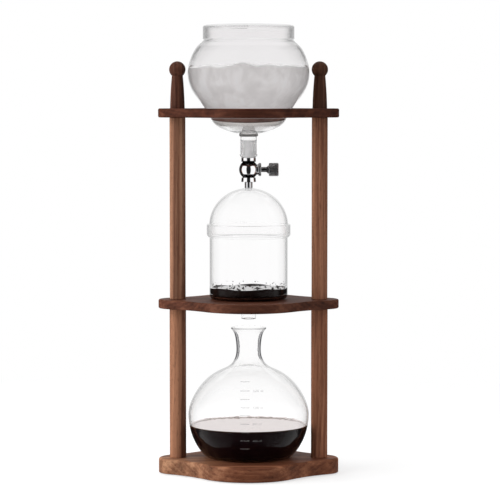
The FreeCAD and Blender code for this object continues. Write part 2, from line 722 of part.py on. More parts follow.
def filter_gasket():
    bottom = MIDDLE_TOP + CHAMBER_FLOOR
    ring = disc(GASKET_RADIUS, bottom, bottom + FILTER_THICKNESS)
    return ring.cut(disc(FILTER_RADIUS, bottom, bottom + FILTER_THICKNESS))


def coffee_grounds():
    """The bed of ground coffee, lying on the chamber's floor and over the filter."""
    radius = CHAMBER_RADIUS - CHAMBER_WALL - LIQUID_GAP
    corner = CHAMBER_CORNER - CHAMBER_WALL
    bend = CORNER_SHARE * corner
    floor = CHAMBER_FLOOR + LIQUID_GAP
    outline = Outline(0, floor)
    outline.line(radius - corner, floor)
    outline.arc((radius - bend, floor + bend), (radius, floor + corner))
    outline.line(radius, GROUNDS_TOP)
    outline.line(0, GROUNDS_TOP)
    bed = outline.turned(MIDDLE_TOP)
    filter_bottom = MIDDLE_TOP + CHAMBER_FLOOR
    filter_top = filter_bottom + FILTER_THICKNESS
    return bed.cut(disc(GASKET_RADIUS, filter_bottom, filter_top))


def dome_arc(inset):
    """The dome's quarter ellipse in the XZ plane, drawn from its spring line to its hole."""
    half_width = DOME_RADIUS - inset
    rise = DOME_RISE - inset
    centre = at(0, DOME_SPRING)
    ellipse = Part.Ellipse(at(half_width, DOME_SPRING), at(0, DOME_SPRING + rise), centre)
    start = ellipse.parameter(at(half_width, DOME_SPRING))
    hole_height = DOME_SPRING + rise * math.sqrt(1 - (DOME_HOLE_RADIUS / half_width) ** 2)
    end = ellipse.parameter(at(DOME_HOLE_RADIUS, hole_height))
    return Part.ArcOfEllipse(ellipse, start, end)


def dome_lid():
    """Blown dome with an open crown for the drip tip, standing on the chamber's ledge."""
    outer = dome_arc(0)
    inner = dome_arc(DOME_WALL)
    bottom = CHAMBER_LEDGE
    inside = DOME_RADIUS - DOME_WALL
    outline = Outline(inside, bottom)
    outline.line(DOME_RADIUS, bottom)
    outline.line(DOME_RADIUS, DOME_SPRING)
    outline.along(outer)
    crown_inside = inner.value(inner.LastParameter)
    rim_middle = (DOME_HOLE_RADIUS - 0.9, 0.5 * (outline.last.z + crown_inside.z))
    outline.arc(rim_middle, (DOME_HOLE_RADIUS, crown_inside.z))
    outline.back_along(inner)
    return outline.turned(MIDDLE_TOP)


# ---- Flask ----
def flask_lower_arc(inset):
    """The round lower half of the flask, from its foot bend up to its widest."""
    radius = FLASK_RADIUS - inset
    foot = FLASK_FOOT_BEND - 0.6 * inset
    drop = math.sqrt(radius ** 2 - foot ** 2)
    middle_angle = 0.5 * math.atan2(drop, foot)
    middle = at(radius * math.cos(middle_angle), FLASK_EQUATOR - radius * math.sin(middle_angle))
    return Part.Arc(at(foot, FLASK_EQUATOR - drop), middle, at(radius, FLASK_EQUATOR))


def flask_upper_curve():
    """Shoulder, neck and flared mouth, from the widest point up."""
    points = [at(FLASK_RADIUS, FLASK_EQUATOR)] + [at(*point) for point in FLASK_UPPER]
    return spline(points, Vector(0, 0, 24), Vector(7, 0, 8))


def flask():
    lower = flask_lower_arc(0)
    lower_inner = flask_lower_arc(FLASK_WALL)
    upper = flask_upper_curve()
    inner_points = under(upper, FLASK_WALL, 13)
    inner_points[0] = at(FLASK_RADIUS - FLASK_WALL, FLASK_EQUATOR)
    floor = FLASK_WALL + FLASK_PUNT
    outline = Outline(0, FLASK_PUNT)
    punt_edge = (FLASK_PUNT_RADIUS, 0)
    outline.arc(crown_middle(punt_edge, FLASK_PUNT), punt_edge)
    outline.line(FLASK_FOOT_RADIUS, 0)
    heel = lower.StartPoint
    outline.arc((heel.x - FLASK_HEEL[0], heel.z - FLASK_HEEL[1]), (heel.x, heel.z))
    outline.along(lower)
    outline.along(upper)
    lip = outline.last
    mouth = inner_points[-1]
    lip_middle = (0.5 * (lip.x + mouth.x) + 0.9, 0.5 * (lip.z + mouth.z) + 0.9)
    outline.arc(lip_middle, (mouth.x, mouth.z))
    outline.back_along(spline(inner_points))
    outline.back_along(lower_inner)
    inner_heel = lower_inner.StartPoint
    heel_middle = (inner_heel.x - FLASK_INNER_HEEL[0], floor + FLASK_INNER_HEEL[1])
    outline.arc(heel_middle, (inner_heel.x - FLASK_INNER_HEEL_WIDTH, floor))
    outline.line(0, floor)
    return outline.turned(BASE_TOP)


def brewed_coffee():
    """The coffee in the flask, a hair inside the glass."""
    lower = flask_lower_arc(FLASK_WALL + LIQUID_GAP)
    floor = FLASK_WALL + FLASK_PUNT + LIQUID_GAP
    heel = lower.StartPoint
    heel_middle = (heel.x - FLASK_INNER_HEEL[0], floor + FLASK_INNER_HEEL[1])
    outline = Outline(0, floor)
    outline.line(heel.x - FLASK_INNER_HEEL_WIDTH, floor)
    outline.arc(heel_middle, (heel.x, heel.z))
    outline.along(lower)
    outline.line(0, FLASK_EQUATOR)
    fill = outline.turned(BASE_TOP)
    return fill.cut(disc(FLASK_RADIUS, BASE_TOP + COFFEE_LEVEL, BASE_TOP + FLASK_EQUATOR))


# ---- Parts ----
save(base_plate(), "base_plate")
save(middle_shelf(), "middle_shelf")
save(top_shelf(), "top_shelf")
for side, x in SIDES.items():
    save(post(x, LOWER_POST_RADIUS, BASE_TOP, MIDDLE_BOTTOM), "lower_post_" + side)
    save(post(x, UPPER_POST_RADIUS, MIDDLE_TOP, TOP_BOTTOM), "upper_post_" + side)
    save(finial(x), "finial_" + side)
save(threaded_inserts(), "threaded_inserts")
save(joint_studs(), "joint_studs")
save(base_bolts(), "base_bolts")
save(rubber_feet(), "rubber_feet")
save(water_bowl(), "water_bowl")
save(ice_and_water(), "ice_and_water")
save(bowl_lid(), "bowl_lid")
save(valve_cone(), "valve_cone")
save(valve_body(), "valve_body")
save(drip_tip(), "drip_tip")
save(stem_packing(), "stem_packing")
save(packing_nut(), "packing_nut")
save(needle_stem(), "needle_stem")
save(stem_seal(), "stem_seal")
save(control_knob(), "control_knob")
save(knob_set_screw(), "knob_set_screw")
save(coffee_chamber(), "coffee_chamber")
save(filter_disc(), "filter_disc")
save(filter_gasket(), "filter_gasket")
save(coffee_grounds(), "coffee_grounds")
save(dome_lid(), "dome_lid")
save(flask(), "flask")
save(brewed_coffee(), "brewed_coffee")
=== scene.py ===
import bisect
import math
import random

import bmesh
import bpy
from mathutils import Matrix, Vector, noise


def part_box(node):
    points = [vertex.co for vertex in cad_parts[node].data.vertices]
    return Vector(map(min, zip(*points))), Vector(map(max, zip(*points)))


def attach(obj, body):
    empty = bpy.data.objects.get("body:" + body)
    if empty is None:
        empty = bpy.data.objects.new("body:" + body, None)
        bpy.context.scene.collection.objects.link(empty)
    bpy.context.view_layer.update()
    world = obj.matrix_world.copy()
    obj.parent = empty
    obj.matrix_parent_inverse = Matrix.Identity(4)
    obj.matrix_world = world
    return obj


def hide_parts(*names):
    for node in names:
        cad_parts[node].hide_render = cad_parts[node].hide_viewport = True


# Cold drip coffee tower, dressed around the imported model. Metres, +Z up, front towards -Y.

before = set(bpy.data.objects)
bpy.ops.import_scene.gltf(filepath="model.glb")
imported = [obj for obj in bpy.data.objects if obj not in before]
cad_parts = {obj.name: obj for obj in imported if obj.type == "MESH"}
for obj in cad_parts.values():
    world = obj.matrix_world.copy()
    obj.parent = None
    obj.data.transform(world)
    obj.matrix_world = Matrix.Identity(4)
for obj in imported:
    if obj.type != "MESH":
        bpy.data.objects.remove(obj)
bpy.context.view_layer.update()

MM = 0.001

# ---- Camera: a long lens, a little above the middle of the tower ----
CAMERA_PLACE = (0.0, -3.133, 0.5065)
CAMERA_PITCH = math.radians(3.774)
CAMERA_LENS = 169.2
CAMERA_SHIFT_X = 0.0028
CAMERA_REACH = 60.0

# ---- Studio ----
FLOOR_HALF = 12.0
FLOOR_ALBEDO = 0.52
FLOOR_LIFT = 0.56
SHADOW_REACH = (0.45, 1.1)
FILL_LEVEL = 0.42
# What mirrors see, against the angle from straight in front of the tower: (degrees, level)
MIRROR_LEVELS = (
    (0, 0.015), (24, 0.015), (30, 1.1), (92, 1.1),
    (102, 0.03), (152, 0.03), (162, 0.85), (180, 0.85),
)
OVERHEAD_SINE = (0.80, 0.92)
# How far the overhead screen reaches down behind the tower, and keeps clear in front of it
OVERHEAD_LEAN = (0.35, 1.0)
OVERHEAD_LEVEL = 1.4
# Softboxes: (azimuth, level). Azimuth 0 is straight in front of the tower.
SOFTBOX_SIZE = (1.9, 1.9)
SOFTBOX_DISTANCE = 1.25
SOFTBOXES = ((-74.0, 3.2), (56.0, 0.75))
REAR_BOX_SIZE = (0.7, 1.9)
REAR_BOXES = ((-140.0, 0.8), (140.0, 0.5))
TOP_BOX_SIZE = (1.2, 1.2)
TOP_BOX_LEVEL = 1.4
STUDIO_HEIGHT = 0.62
LEAST_REACH = 0.0001        # so that nothing is divided by 0 straight up or down
WHITE = (1, 1, 1)


# ---- Shader helpers ----
NOISE_SPAN = (0.3, 0.7)     # where nearly all of a noise pattern's values lie


class Shader:
    """The nodes of a material or a world, made by short calls that return sockets."""

    def __init__(self, name="", holder=None):
        self.holder = holder or bpy.data.materials.new(name)
        self.holder.use_nodes = True
        self.tree = self.holder.node_tree
        self.tree.nodes.clear()

    def node(self, kind, settings=(), **inputs):
        made = self.tree.nodes.new("ShaderNode" + kind)
        for key, value in dict(settings).items():
            setattr(made, key, value)
        for key, value in inputs.items():
            self.put(made.inputs[key.replace("_", " ")], value)
        return made

    def put(self, socket, value):
        if isinstance(value, bpy.types.NodeSocket):
            self.tree.links.new(value, socket)
        elif socket.type == "RGBA" and len(value) == 3:
            socket.default_value = (*value, 1.0)
        else:
            socket.default_value = value

    def feed(self, made, first, *values):
        """Puts values into a node's inputs, from number first on. Returns its first output."""
        for number, value in enumerate(values, first):
            self.put(made.inputs[number], value)
        return made.outputs[0]

    def place(self, shift=(0, 0, 0), turn=(0, 0, 0)):
        """The point on the piece, in metres, turned by degrees and moved."""
        point = self.node("TexCoord").outputs["Object"]
        turn = tuple(math.radians(angle) for angle in turn)
        return self.node("Mapping", Vector=point, Location=shift, Rotation=turn).outputs[0]

    def stretch(self, vector, scale, shift=(0, 0, 0)):
        return self.node("Mapping", Vector=vector, Scale=scale, Location=shift).outputs[0]

    def axes(self, vector):
        return self.node("SeparateXYZ", Vector=vector).outputs

    def length(self, vector):
        made = self.node("VectorMath", {"operation": "LENGTH"})
        self.feed(made, 0, vector)
        return made.outputs["Value"]

    def noise(self, vector, scale=1.0, detail=2.0, roughness=0.5, distortion=0.0):
        made = self.node("TexNoise", Vector=vector, Scale=scale, Detail=detail,
                         Roughness=roughness, Distortion=distortion)
        return made.outputs["Fac"]

    def math(self, operation, a, b=0.0):
        return self.feed(self.node("Math", {"operation": operation}), 0, a, b)

    def band(self, value, low, high, start=0.0, end=1.0):
        """A value rescaled from low..high to start..end, and held there outside."""
        made = self.node("MapRange", Value=value, From_Min=low, From_Max=high,
                         To_Min=start, To_Max=end)
        return made.outputs[0]

    def spread(self, pattern, start=0.0, end=1.0):
        """A noise pattern's usual values, rescaled to start..end."""
        return self.band(pattern, *NOISE_SPAN, start, end)

    def ramp(self, value, *stops):
        made = self.node("ValToRGB", Fac=value)
        elements = made.color_ramp.elements
        while len(elements) < len(stops):
            elements.new(0.5)
        for element, (place, colour) in zip(elements, stops):
            element.position = place
            element.color = (*colour, 1.0)
        return made.outputs["Color"]

    def mix(self, factor, a, b, blend="MIX"):
        made = self.node("Mix", {"data_type": "RGBA", "blend_type": blend})
        self.feed(made, 0, factor)
        self.feed(made, 6, a, b)
        return made.outputs[2]

    def bump(self, height, distance, strength=1.0):
        return self.node("Bump", Height=height, Distance=distance, Strength=strength).outputs[0]

    def surface(self, **inputs):
        return self.node("BsdfPrincipled", **inputs).outputs[0]

    def glow(self, level, colour=WHITE):
        return self.node("Emission", Color=colour, Strength=level).outputs[0]

    def blend(self, factor, a, b):
        return self.feed(self.node("MixShader"), 0, factor, a, b)

    def finish(self, surface, output="OutputMaterial"):
        self.node(output, Surface=surface)
        return self.holder


# ---- Walnut ----
WALNUT_DARK = (0.040, 0.0125, 0.0068)
WALNUT_MID = (0.125, 0.046, 0.024)
WALNUT_LIGHT = (0.290, 0.135, 0.074)
WALNUT_PORE = (0.018, 0.008, 0.005)
RING_WIDTH = 5.5 * MM
RING_SWAY = 4.5             # how many rings' width the rings wander along the board
# How finely each pattern repeats along the fibres and across them, per metre
SWAY_GRAIN = (4, 16, 16)
STREAK_GRAIN = (1.6, 75, 75)
FIBRE_GRAIN = (14, 420, 420)
PORE_GRAIN = (110, 2300, 2300)
FIBRE_SHARE = 0.22
PORE_SHARE = 0.6


def walnut(name, grain, pith, tone, figure, painted_light_end=None):
    """Oiled walnut: growth rings round a pith off to one side, fibres, pores and darker streaks.

    grain turns the piece so that its fibres run along X. pith is where the middle of the log
    lies from the piece's own origin, and also picks another stretch of the same log. figure is
    how strongly the growth rings show. painted_light_end is (from, to, gain): painted light, the
    board gets paler along X towards the end that the key light falls on."""
    s = Shader(name)
    along = s.place(pith, grain)
    sway = s.noise(s.stretch(along, SWAY_GRAIN), detail=1.5)
    rings = s.math("DIVIDE", s.length(s.stretch(along, (0, 1, 1))), RING_WIDTH)
    rings = s.math("ADD", rings, s.math("MULTIPLY", sway, RING_SWAY))
    growth = s.ramp(
        s.math("FRACT", rings),
        (0.0, WALNUT_LIGHT), (0.5, WALNUT_MID), (0.88, WALNUT_DARK), (1.0, WALNUT_LIGHT),
    )
    streak = s.noise(s.stretch(along, STREAK_GRAIN, (3, 1, 2)), detail=3, roughness=0.58)
    plain = s.ramp(streak, (0.32, WALNUT_DARK), (0.50, WALNUT_MID), (0.68, WALNUT_LIGHT))
    fibre = s.noise(s.stretch(along, FIBRE_GRAIN), detail=4, roughness=0.65)
    fine = s.ramp(fibre, (0.35, WALNUT_DARK), (0.65, WALNUT_LIGHT))
    wood = s.mix(FIBRE_SHARE, s.mix(figure, plain, growth), fine)
    pit = s.band(s.noise(s.stretch(along, PORE_GRAIN), detail=1), 0.62, 0.72)
    wood = s.mix(s.math("MULTIPLY", pit, PORE_SHARE), wood, WALNUT_PORE)
    wood = s.mix(1.0, wood, tone, "MULTIPLY")
    # Painted light: the board gets paler along X, towards the end the key light falls on.
    if painted_light_end:
        start, end, gain = painted_light_end
        lit_share = s.band(s.axes(s.place())["X"], start, end)
        wood = s.mix(lit_share, wood, s.mix(1.0, wood, gain, "MULTIPLY"))
    height = s.math("SUBTRACT", s.math("MULTIPLY", fibre, 0.5), pit)
    surface = s.surface(
        Base_Color=wood,
        Roughness=s.spread(fibre, 0.48, 0.66),
        Specular_IOR_Level=0.09,
        Normal=s.bump(height, 0.12 * MM, 0.6),
    )
    return s.finish(surface)


# ---- Glass ----
GLASS_IOR = 1.47
BARE_GLASS = (0.99, 0.99, 0.99)
WALL_LAMP_TINT = (0.96, 0.965, 0.965)
FROSTED_LAMP_TINT = (0.75, 0.75, 0.75)
WALL_WAVE = 0.25 * MM
TINT_FADE = 4 * MM          # over which the wall's colour comes in above its height
WALL_FADE = 1.5 * MM        # half of the stretch over which a wall gets thicker
# Painted glow: the next span fades in the emission that stands in for light inside a wall.
PAINTED_GLOW_FADE = 6 * MM         # over which the light inside a wall comes in above its height
JOINT_ROUGHNESS = 0.5


def lamps_pass(s, surface, colour):
    """Lets lamp rays straight through, so that what a glass shuts in is lit."""
    ray = s.node("LightPath").outputs["Is Shadow Ray"]
    return s.blend(ray, surface, s.node("BsdfTransparent", Color=colour).outputs[0])


def thicker_wall(s, facing, height, thick):
    """facing, raised along a stretch of thicker wall, so that the painted edge shade reaches
    further in from its edge.
    """
    low, high, gain, shift = thick
    start = s.band(height, low - WALL_FADE, low + WALL_FADE)
    end = s.band(height, high + WALL_FADE, high - WALL_FADE)
    thicker = s.math("ADD", s.math("MULTIPLY", facing, gain), shift)
    return s.math("ADD", facing, s.math("MULTIPLY", thicker, s.math("MULTIPLY", start, end)))


def joint_roughness(s, point, height, ground):
    """Frosted inside a ground joint, and clear everywhere else."""
    radius, low, high = ground
    inside = s.math("LESS_THAN", s.length(s.stretch(point, (1, 1, 0))), radius)
    over = s.math("GREATER_THAN", height, low)
    under = s.math("LESS_THAN", height, high)
    frosted = s.math("MULTIPLY", inside, s.math("MULTIPLY", over, under))
    return s.math("MULTIPLY", frosted, JOINT_ROUGHNESS)


def painted_wall_glow(s, surface, height, painted_glow):
    """A painted glow: one even level of emission stands in for the light that a wall mirrors from
    its inside, above a height. A ray that has gone through the wall counts as glossy as well, so
    it is told apart here."""
    start, level = painted_glow
    rays = s.node("LightPath").outputs
    mirrored = s.math("GREATER_THAN", rays["Is Glossy Ray"], rays["Is Transmission Ray"])
    inside = s.math("MULTIPLY", mirrored, s.node("NewGeometry").outputs["Backfacing"])
    lit = s.math("MULTIPLY", inside, s.band(height, start, start + PAINTED_GLOW_FADE))
    return s.blend(lit, surface, s.glow(level))


def glass(name, clear, edge, rim, painted_glow, above=None, thick=None, ground=None, gloss=0.16):
    """Blown borosilicate with a faint waviness.

    clear is its colour seen square on, and edge the darker colour painted along an upright wall
    seen edge-on, as painted shade; rim is the two facing values between which one turns into the
    other. painted_glow is (height, level): the level of a painted glow, an emission that stands in
    for the light running along inside the wall from edge to edge, above that height. above is the
    height under which the wall has no colour square on. thick is (low, high, gain, shift): a
    stretch of thicker wall, where the painted edge shade reaches further in. ground is (radius,
    low, high) of a frosted joint inside it. gloss scales its reflections."""
    s = Shader(name)
    point = s.place()
    height = s.axes(point)["Z"]
    if above is not None:
        clear = s.mix(s.band(height, above - TINT_FADE, above), BARE_GLASS, clear)
    lean = s.axes(s.node("NewGeometry").outputs["Normal"])["Z"]
    upright = s.math("SUBTRACT", 1.0, s.math("MULTIPLY", lean, lean))
    facing = s.math("MULTIPLY", s.node("LayerWeight", Blend=0.5).outputs["Facing"], upright)
    if thick:
        facing = thicker_wall(s, facing, height, thick)
    surface = s.surface(
        # Painted shade: the colour turns from clear to the darker edge colour where the wall is
        # seen edge-on, standing in for the dark the glass refracts there.
        Base_Color=s.mix(s.band(facing, *rim), clear, edge),
        Roughness=joint_roughness(s, point, height, ground) if ground else 0.0,
        IOR=GLASS_IOR,
        Transmission_Weight=1.0,
        Specular_Tint=(gloss, gloss, gloss),
        Normal=s.bump(s.noise(s.stretch(point, (26, 26, 14)), detail=2), WALL_WAVE, 0.30),
    )
    # Painted glow: an emission stands in for the light mirrored inside the wall.
    surface = painted_wall_glow(s, surface, height, painted_glow)
    return s.finish(lamps_pass(s, surface, WALL_LAMP_TINT))


def ground_glass(name):
    """Frosted by grinding: a fine even tooth with faint rings from the lathe."""
    s = Shader(name)
    point = s.place()
    tooth = s.noise(point, 5200.0, detail=2)
    turning = s.noise(s.stretch(point, (60, 60, 1500)), detail=2)
    surface = s.surface(
        Base_Color=s.ramp(turning, (0.3, (0.88, 0.87, 0.875)), (0.7, (0.99, 0.985, 0.99))),
        Roughness=0.55,
        IOR=GLASS_IOR,
        Transmission_Weight=0.75,
        Normal=s.bump(s.math("ADD", tooth, turning), 0.05 * MM, 0.5),
    )
    return s.finish(lamps_pass(s, surface, FROSTED_LAMP_TINT))


# ---- Metal, rubber and ceramic ----
# Painted shade: the dark colour painted round a crevice, and the width over which it fades out.
CREVICE_SHADE_COLOUR = (0.03, 0.028, 0.028)
CREVICE_SHADE_FADE = 0.6 * MM
SMEAR_GAIN = 1.9            # how much rougher a smear is than clean plating
CLOUD_SHADE = 0.78          # how much darker moulded parts are where they're darkest


def polished_metal(name, colour, roughness, lines=(0, 0, 900), crevice_shades=()):
    """Bright plating over turned metal, with the faintest of tool rings. crevice_shades are heights
    round which dark shade is painted into the plating's colour, each (height, half width)."""
    s = Shader(name)
    point = s.place()
    turning = s.noise(s.stretch(point, lines), detail=2)
    smear = s.noise(point, 180.0, detail=3)
    height = s.axes(point)["Z"]
    # Painted shade: the plating's colour goes dark round each crevice, standing in for the groove's
    # shade and dark reflections.
    for level, half in crevice_shades:
        away = s.math("ABSOLUTE", s.math("SUBTRACT", height, level))
        colour = s.mix(s.band(away, half, half + CREVICE_SHADE_FADE), CREVICE_SHADE_COLOUR, colour)
    surface = s.surface(
        Base_Color=colour,
        Metallic=1.0,
        Roughness=s.band(smear, 0.35, 0.75, roughness, roughness * SMEAR_GAIN),
        Normal=s.bump(turning, 0.004 * MM, 0.5),
    )
    return s.finish(surface)


def brushed(name, colour, roughness):
    """Bare metal with fine lines along Z."""
    s = Shader(name)
    grain = s.noise(s.stretch(s.place(), (2600, 2600, 200)), detail=2)
    surface = s.surface(
        Base_Color=s.mix(s.spread(grain, 0.0, 0.35), colour, (0.9, 0.9, 0.9)),
        Metallic=1.0,
        Roughness=s.spread(grain, roughness, roughness + 0.15),
        Normal=s.bump(grain, 0.01 * MM, 0.6),
    )
    return s.finish(surface)


def moulded(name, colour, roughness, tooth=900.0, depth=0.03 * MM):
    """Rubber, silicone, PTFE or ceramic: a fine skin texture and slightly uneven colour."""
    s = Shader(name)
    point = s.place()
    skin = s.noise(point, tooth, detail=3)
    cloud = s.noise(point, 90.0, detail=2)
    darker = tuple(CLOUD_SHADE * part for part in colour)
    surface = s.surface(
        Base_Color=s.mix(s.spread(cloud), darker, colour),
        Roughness=s.spread(skin, roughness - 0.08, roughness + 0.08),
        Normal=s.bump(skin, depth, 0.6),
    )
    return s.finish(surface)


# ---- Mesh helpers ----
HEIGHT_DIGITS = 5           # decimals of a metre to which one ring's heights agree


def top_of(node):
    """The height of a CAD node's top."""
    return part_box(node)[1].z


def reach_of(node):
    """A turned CAD node's outer radius, as a function of height."""
    widest = {}
    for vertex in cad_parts[node].data.vertices:
        if vertex.normal.x * vertex.co.x + vertex.normal.y * vertex.co.y <= 0:
            continue
        height = round(vertex.co.z, HEIGHT_DIGITS)
        widest[height] = max(widest.get(height, 0.0), math.hypot(vertex.co.x, vertex.co.y))
    heights = sorted(widest)

    def radius(height):
        above = min(max(bisect.bisect_left(heights, height), 1), len(heights) - 1)
        low, high = heights[above - 1], heights[above]
        share = min(max((height - low) / (high - low), 0.0), 1.0)
        return widest[low] + share * (widest[high] - widest[low])

    return radius


def grid_piece(name, rows, materials, body, top_from):
    """A closed skin over rings of points, lowest ring first, with its ends capped by a fan. It has
    two materials, and the second one covers it from ring top_from on."""
    mesh = bmesh.new()
    rings = [[mesh.verts.new(point) for point in row] for row in rows]
    count = len(rows[0])
    for number, (lower, upper) in enumerate(zip(rings, rings[1:])):
        for index in range(count):
            after = (index + 1) % count
            face = mesh.faces.new((lower[index], lower[after], upper[after], upper[index]))
            face.material_index = int(number >= top_from)
    for ring, is_top in ((rings[0], False), (rings[-1], True)):
        tip = mesh.verts.new(sum((vertex.co for vertex in ring), Vector()) / count)
        for index in range(count):
            corners = (ring[index], ring[(index + 1) % count], tip)
            face = mesh.faces.new(corners if is_top else corners[::-1])
            face.material_index = int(is_top)
    return piece_from(mesh, name, materials, body)


def piece_from(mesh, name, materials, body, smooth=True):
    """Turns a bmesh into a piece that rides on a body."""
    mesh.normal_update()
    data = bpy.data.meshes.new(name)
    mesh.to_mesh(data)
    mesh.free()
    for material in materials:
        data.materials.append(material)
    if smooth:
        data.shade_smooth()
    piece = bpy.data.objects.new(name, data)
    bpy.context.scene.collection.objects.link(piece)
    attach(piece, body)
    return piece


# ---- CAD nodes that keep their shape ----
def dress(material, *nodes):
    """Gives CAD nodes this material in place of their plain one."""
    for node in nodes:
        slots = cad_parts[node].data.materials
        slots.clear()
        slots.append(material)


# How a piece is turned for its fibres to run along X
ALONG_X = (0, 0, 0)
ASKEW_X = (0, 0, -4)
ALONG_Z = (0, 90, 0)
# Painted light: boards that get paler along X, towards the end the key light falls on: (from, to,
# gain)
PAINTED_LIGHT_END_BASE = (-15 * MM, -90 * MM, (1.5, 1.95, 2.1))
PAINTED_LIGHT_END_SHELF = (-30 * MM, -90 * MM, (1.3, 1.3, 1.3))
# node: (grain, pith, tone, figure, painted_light_end)
BOARDS = {
    "base_plate": (ASKEW_X, (0.30, 0.094, -0.060), (1.17, 1.03, 0.98), 0.20, PAINTED_LIGHT_END_BASE),
    "middle_shelf": (ALONG_X, (1.10, -0.035, -0.330), (0.54, 0.46, 0.48), 0.22, PAINTED_LIGHT_END_SHELF),
    "top_shelf": (ALONG_X, (2.05, 0.060, -0.600), (0.43, 0.32, 0.31), 0.25),
    "lower_post_left": (ALONG_Z, (0.15, 0.030, 0.145), (1.33, 1.34, 1.38), 0.26),
    "lower_post_right": (ALONG_Z, (0.75, -0.028, -0.050), (1.94, 1.95, 2.00), 0.26),
    "upper_post_left": (ALONG_Z, (1.60, 0.034, 0.140), (1.39, 1.56, 1.70), 0.28),
    "upper_post_right": (ALONG_Z, (2.30, 0.026, -0.045), (1.43, 1.48, 1.55), 0.28),
    "finial_left": (ALONG_Z, (3.10, -0.030, 0.135), (0.60, 0.56, 0.64), 0.30),
    "finial_right": (ALONG_Z, (3.90, 0.028, -0.050), (0.43, 0.43, 0.46), 0.30),
}


def dress_wood():
    """Each board and turning is cut from its own stretch of the log, in its own tone."""
    for node, board in BOARDS.items():
        dress(walnut("walnut_" + node, *board), node)


# Stretches of thicker wall, where the painted edge shade reaches further in: (low, high, gain,
# shift)
BOWL_COLLAR = (452.0 * MM, 454.2 * MM, 0.0, 1.4)
FLASK_NECK = (152 * MM, 200 * MM, 2.33, -0.867)
JOINT_MARGIN = (0.9 * MM, 0.7 * MM)     # by which the outlet's frosting passes the cone


def dress_glass():
    """The vessels, with painted dark edges. Inside a wall, a painted glow stands in for the light
    that runs along it, only above what the vessel holds.
    """
    cone_low, cone_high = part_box("valve_cone")
    beside, above = JOINT_MARGIN
    outlet = (cone_high.x + beside, cone_low.z, cone_high.z + above)
    shelf = top_of("top_shelf")
    bowl = glass("bowl_glass", (0.917, 0.909, 0.912), (0.36, 0.36, 0.36), (0.60, 1.0),
                 painted_glow=(top_of("ice_and_water"), 0.45), above=shelf, thick=BOWL_COLLAR,
                 ground=outlet)
    lid = glass("lid_glass", (0.990, 0.987, 0.988), (0.45, 0.45, 0.45), (0.42, 0.80),
                painted_glow=(shelf, 0.8))
    chamber = glass("chamber_glass", (0.994, 0.992, 0.993), (0.50, 0.50, 0.50), (0.62, 1.0),
                    painted_glow=(top_of("coffee_grounds"), 0.72))
    flask = glass("flask_glass", (0.995, 0.993, 0.993), (0.03, 0.03, 0.035), (0.80, 1.0),
                  painted_glow=(top_of("brewed_coffee"), 0.6), thick=FLASK_NECK, gloss=0.05)
    dress(bowl, "water_bowl")
    dress(lid, "bowl_lid")
    dress(chamber, "coffee_chamber", "dome_lid")
    dress(flask, "flask")
    dress(ground_glass("ground_glass"), "valve_cone")


# Painted shade in the grooves above and below the valve's ball: height from its axis, and half
# width
VALVE_CREVICE_SHADES = ((9.2 * MM, 2.4 * MM), (-8.2 * MM, 2.0 * MM))


def dress_valve():
    axis = 0.5 * sum(corner.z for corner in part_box("control_knob"))
    crevice_shades = [(axis + height, half) for height, half in VALVE_CREVICE_SHADES]
    body = polished_metal("chrome_body", (0.90, 0.90, 0.91), 0.045, crevice_shades=crevice_shades)
    # Painted shade: the stem and packing nut get a darker copy of the chrome, standing in for the
    # dark surroundings they mirror.
    stem = polished_metal("chrome_stem_painted_dark", (0.42, 0.42, 0.43), 0.07, (900, 0, 0))
    knob = polished_metal("black_chrome", (0.50, 0.50, 0.51), 0.24, (700, 0, 0))
    dress(body, "valve_body")
    # Painted shade: the drip tip gets a darker copy of the chrome as well.
    dress(polished_metal("chrome_tip_painted_dark", (0.55, 0.55, 0.56), 0.08), "drip_tip")
    dress(stem, "packing_nut", "needle_stem")
    dress(knob, "control_knob")


def dress_small_parts():
    dress(brushed("brass", (0.72, 0.50, 0.20), 0.25), "threaded_inserts")
    dress(brushed("steel", (0.55, 0.56, 0.58), 0.30), "joint_studs", "base_bolts", "knob_set_screw")
    dress(moulded("black_rubber", (0.022, 0.022, 0.024), 0.75), "rubber_feet", "stem_seal")
    dress(moulded("white_silicone", (0.74, 0.74, 0.71), 0.55), "filter_gasket")
    dress(moulded("white_ptfe", (0.82, 0.82, 0.80), 0.50), "stem_packing")
    dress(moulded("filter_ceramic", (0.78, 0.75, 0.69), 0.85, 1400.0, 0.10 * MM), "filter_disc")


# ---- What the glass holds ----
GLASS_BITE = 0.5 * MM       # by which a filling enters the glass, so that no air shows between
RING_COUNT = 180


def filled(node, name, top, materials, body, side_rows, top_rows, rim=0):
    """A filling with the CAD node's shape below and its own top surface, top(x, y). The second
    material covers the top, and as many of the highest rows of the side as rim says."""
    low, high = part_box(node)
    reach = reach_of(node)
    wall = reach(high.z)
    lines = []
    for row in range(side_rows + 1):
        share = row / side_rows
        ring = []
        for index in range(RING_COUNT):
            angle = 2 * math.pi * index / RING_COUNT
            x, y = math.cos(angle), math.sin(angle)
            height = low.z + share * (top(x * wall, y * wall) - low.z)
            radius = reach(height) + GLASS_BITE
            ring.append(Vector((x * radius, y * radius, height)))
        lines.append(ring)
    edge = lines[-1]
    for row in range(1, top_rows):
        share = 1 - row / top_rows
        ring = []
        for point in edge:
            x, y = point.x * share, point.y * share
            ring.append(Vector((x, y, top(x, y))))
        lines.append(ring)
    piece = grid_piece(name, lines, materials, body, side_rows - rim)
    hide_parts(node)


def hills(x, y, places):
    """Rounded rises: each place is (x, y, height, spread) in millimetres."""
    total = 0.0
    for hill_x, hill_y, height, spread in places:
        away = (x / MM - hill_x) ** 2 + (y / MM - hill_y) ** 2
        total += height * math.exp(-away / (2 * spread ** 2))
    return total * MM


def lumps(x, y, width, seed):
    """Smooth random rises about this wide, from -1 to 1."""
    return noise.noise(Vector((x / width, y / width, seed)))


